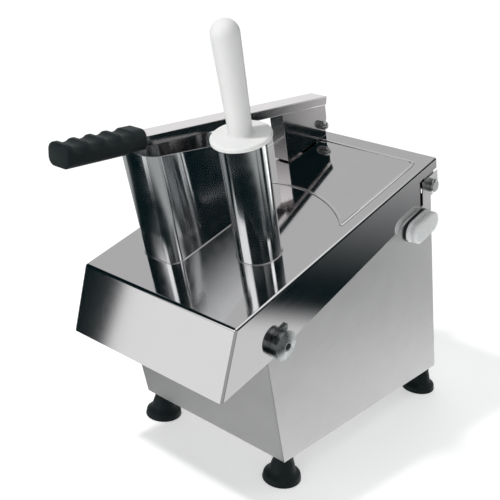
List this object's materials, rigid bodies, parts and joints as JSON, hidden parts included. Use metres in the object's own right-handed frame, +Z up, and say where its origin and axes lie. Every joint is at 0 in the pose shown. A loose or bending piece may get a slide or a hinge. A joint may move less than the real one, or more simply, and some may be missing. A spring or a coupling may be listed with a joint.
{
  "type": "vegetable cutter machine",
  "caption": "Bench-top electric vegetable cutter with a sloping hinged lid, lever-fed half-moon mouth, round tube with pestle, belt-driven cutting disc and discharge hood.",
  "frame": {"origin": "middle of the bounding box, on the floor under the feet", "axes": "+Z up, -Y to the front where the hood and the grip are, +X to the side with the knob"},
  "size_m": [0.2766, 0.5958, 0.5768],
  "materials": {
    "casing_steel": "satin brushed stainless sheet",
    "lid_steel": "semi-polished stainless sheet with polished bends",
    "mouth_steel": "mirror-polished stainless sheet",
    "lever_steel": "polished stainless, brushed along its length",
    "knob_steel": "turned stainless",
    "fastener_steel": "zinc-bright machined steel",
    "drive_steel": "ground and oiled steel",
    "cast_alloy": "cast aluminium, machined where it seats",
    "motor_paint": "grey-blue enamel",
    "motor_copper": "varnished copper windings and laminations",
    "white_plastic": "milky food-grade plastic",
    "black_rubber": "matte black rubber",
    "black_plastic": "matte black plastic",
    "boot_silicone": "clear soft silicone, slightly cloudy",
    "button_green": "moulded green plastic",
    "button_red": "moulded red plastic"
  },
  "bodies": {
    "casing": {"left_side_panel": "casing_steel", "right_side_panel": "casing_steel", "front_panel": "casing_steel", "deck_plate": "casing_steel", "rear_panel": "casing_steel", "rear_panel_screws": "fastener_steel", "base_plate": "casing_steel", "rubber_feet": "black_rubber", "foot_bolts": "fastener_steel", "chamber_band": "casing_steel", "bearing_housing": "cast_alloy", "hex_bolts": "fastener_steel", "upper_bearing": "drive_steel", "lower_bearing": "drive_steel", "shaft_seal": "black_rubber", "motor_bracket": "drive_steel", "motor_housing": "motor_paint", "motor_stator": "motor_copper", "motor_end_bell": "motor_paint", "drive_belt": "black_rubber", "run_capacitor": "white_plastic", "safety_sensor": "black_plastic", "switch_plate": "black_plastic", "switch_block": "black_plastic", "switch_boot": "boot_silicone", "cable_gland": "black_plastic", "hinge_bolts": "fastener_steel", "lock_stud": "fastener_steel"},
    "disc": {"disc_shaft": "drive_steel", "disc_pulley": "cast_alloy", "shaft_circlip": "drive_steel", "drive_pin": "drive_steel", "ejector_disc": "white_plastic", "cutting_disc": "cast_alloy", "cutting_blade": "knob_steel", "blade_screws": "fastener_steel", "disc_nut": "black_plastic"},
    "rotor": {"motor_rotor": "drive_steel", "motor_shaft": "drive_steel", "motor_pulley": "cast_alloy"},
    "lid": {"lid_shell": "lid_steel", "hinge_lugs": "fastener_steel", "feed_mouth": "mouth_steel", "round_tube": "mouth_steel", "pivot_lug": "lever_steel", "pivot_bolt": "fastener_steel", "pivot_nut": "fastener_steel", "safety_magnet": "black_plastic"},
    "lever": {"lever_bar": "lever_steel", "lever_box": "lever_steel", "lever_grip": "black_rubber", "pusher_stem": "lever_steel", "pusher_plate": "white_plastic", "pusher_screws": "fastener_steel"},
    "lock": {"lock_knob": "knob_steel", "lock_tab": "knob_steel"},
    "pestle": {"pestle": "white_plastic"},
    "start_button": {"start_button": "button_green"},
    "stop_button": {"stop_button": "button_red"}
  },
  "joints": [
    {"name": "lid_hinge", "type": "hinge", "parent": "casing", "child": "lid", "pos_m": [-0.0041, 0.18739, 0.35179], "axis": [-1, 0, 0], "range_deg": [0, 110]},
    {"name": "lever_hinge", "type": "hinge", "parent": "lid", "child": "lever", "pos_m": [-0.0671, 0.16565, 0.40413], "axis": [-1, 0, 0], "range_deg": [0, 70]},
    {"name": "pestle_slide", "type": "slide", "parent": "lid", "child": "pestle", "axis": [0, -0.309, 0.9511], "range_m": [0, 0.17]},
    {"name": "disc_spin", "type": "hinge", "parent": "casing", "child": "disc", "pos_m": [-0.0041, -0.08845, 0.29949], "axis": [0, -0.309, 0.9511], "continuous": true},
    {"name": "motor_spin", "type": "hinge", "parent": "casing", "child": "rotor", "pos_m": [-0.0041, 0.07608, 0.35295], "axis": [0, -0.309, 0.9511], "continuous": true},
    {"name": "start_press", "type": "slide", "parent": "casing", "child": "start_button", "axis": [-1, 0, 0], "range_m": [0, 0.004], "stiffness_N_per_m": 600},
    {"name": "stop_press", "type": "slide", "parent": "casing", "child": "stop_button", "axis": [-1, 0, 0], "range_m": [0, 0.004], "stiffness_N_per_m": 600},
    {"name": "lock_turn", "type": "hinge", "parent": "casing", "child": "lock", "pos_m": [-0.0041, -0.13001, 0.21869], "axis": [1, 0, 0], "range_deg": [0, 180]}
  ],
  "couplings": [
    {"joint": "motor_spin", "follows": "disc_spin", "ratio": 5}
  ]
}
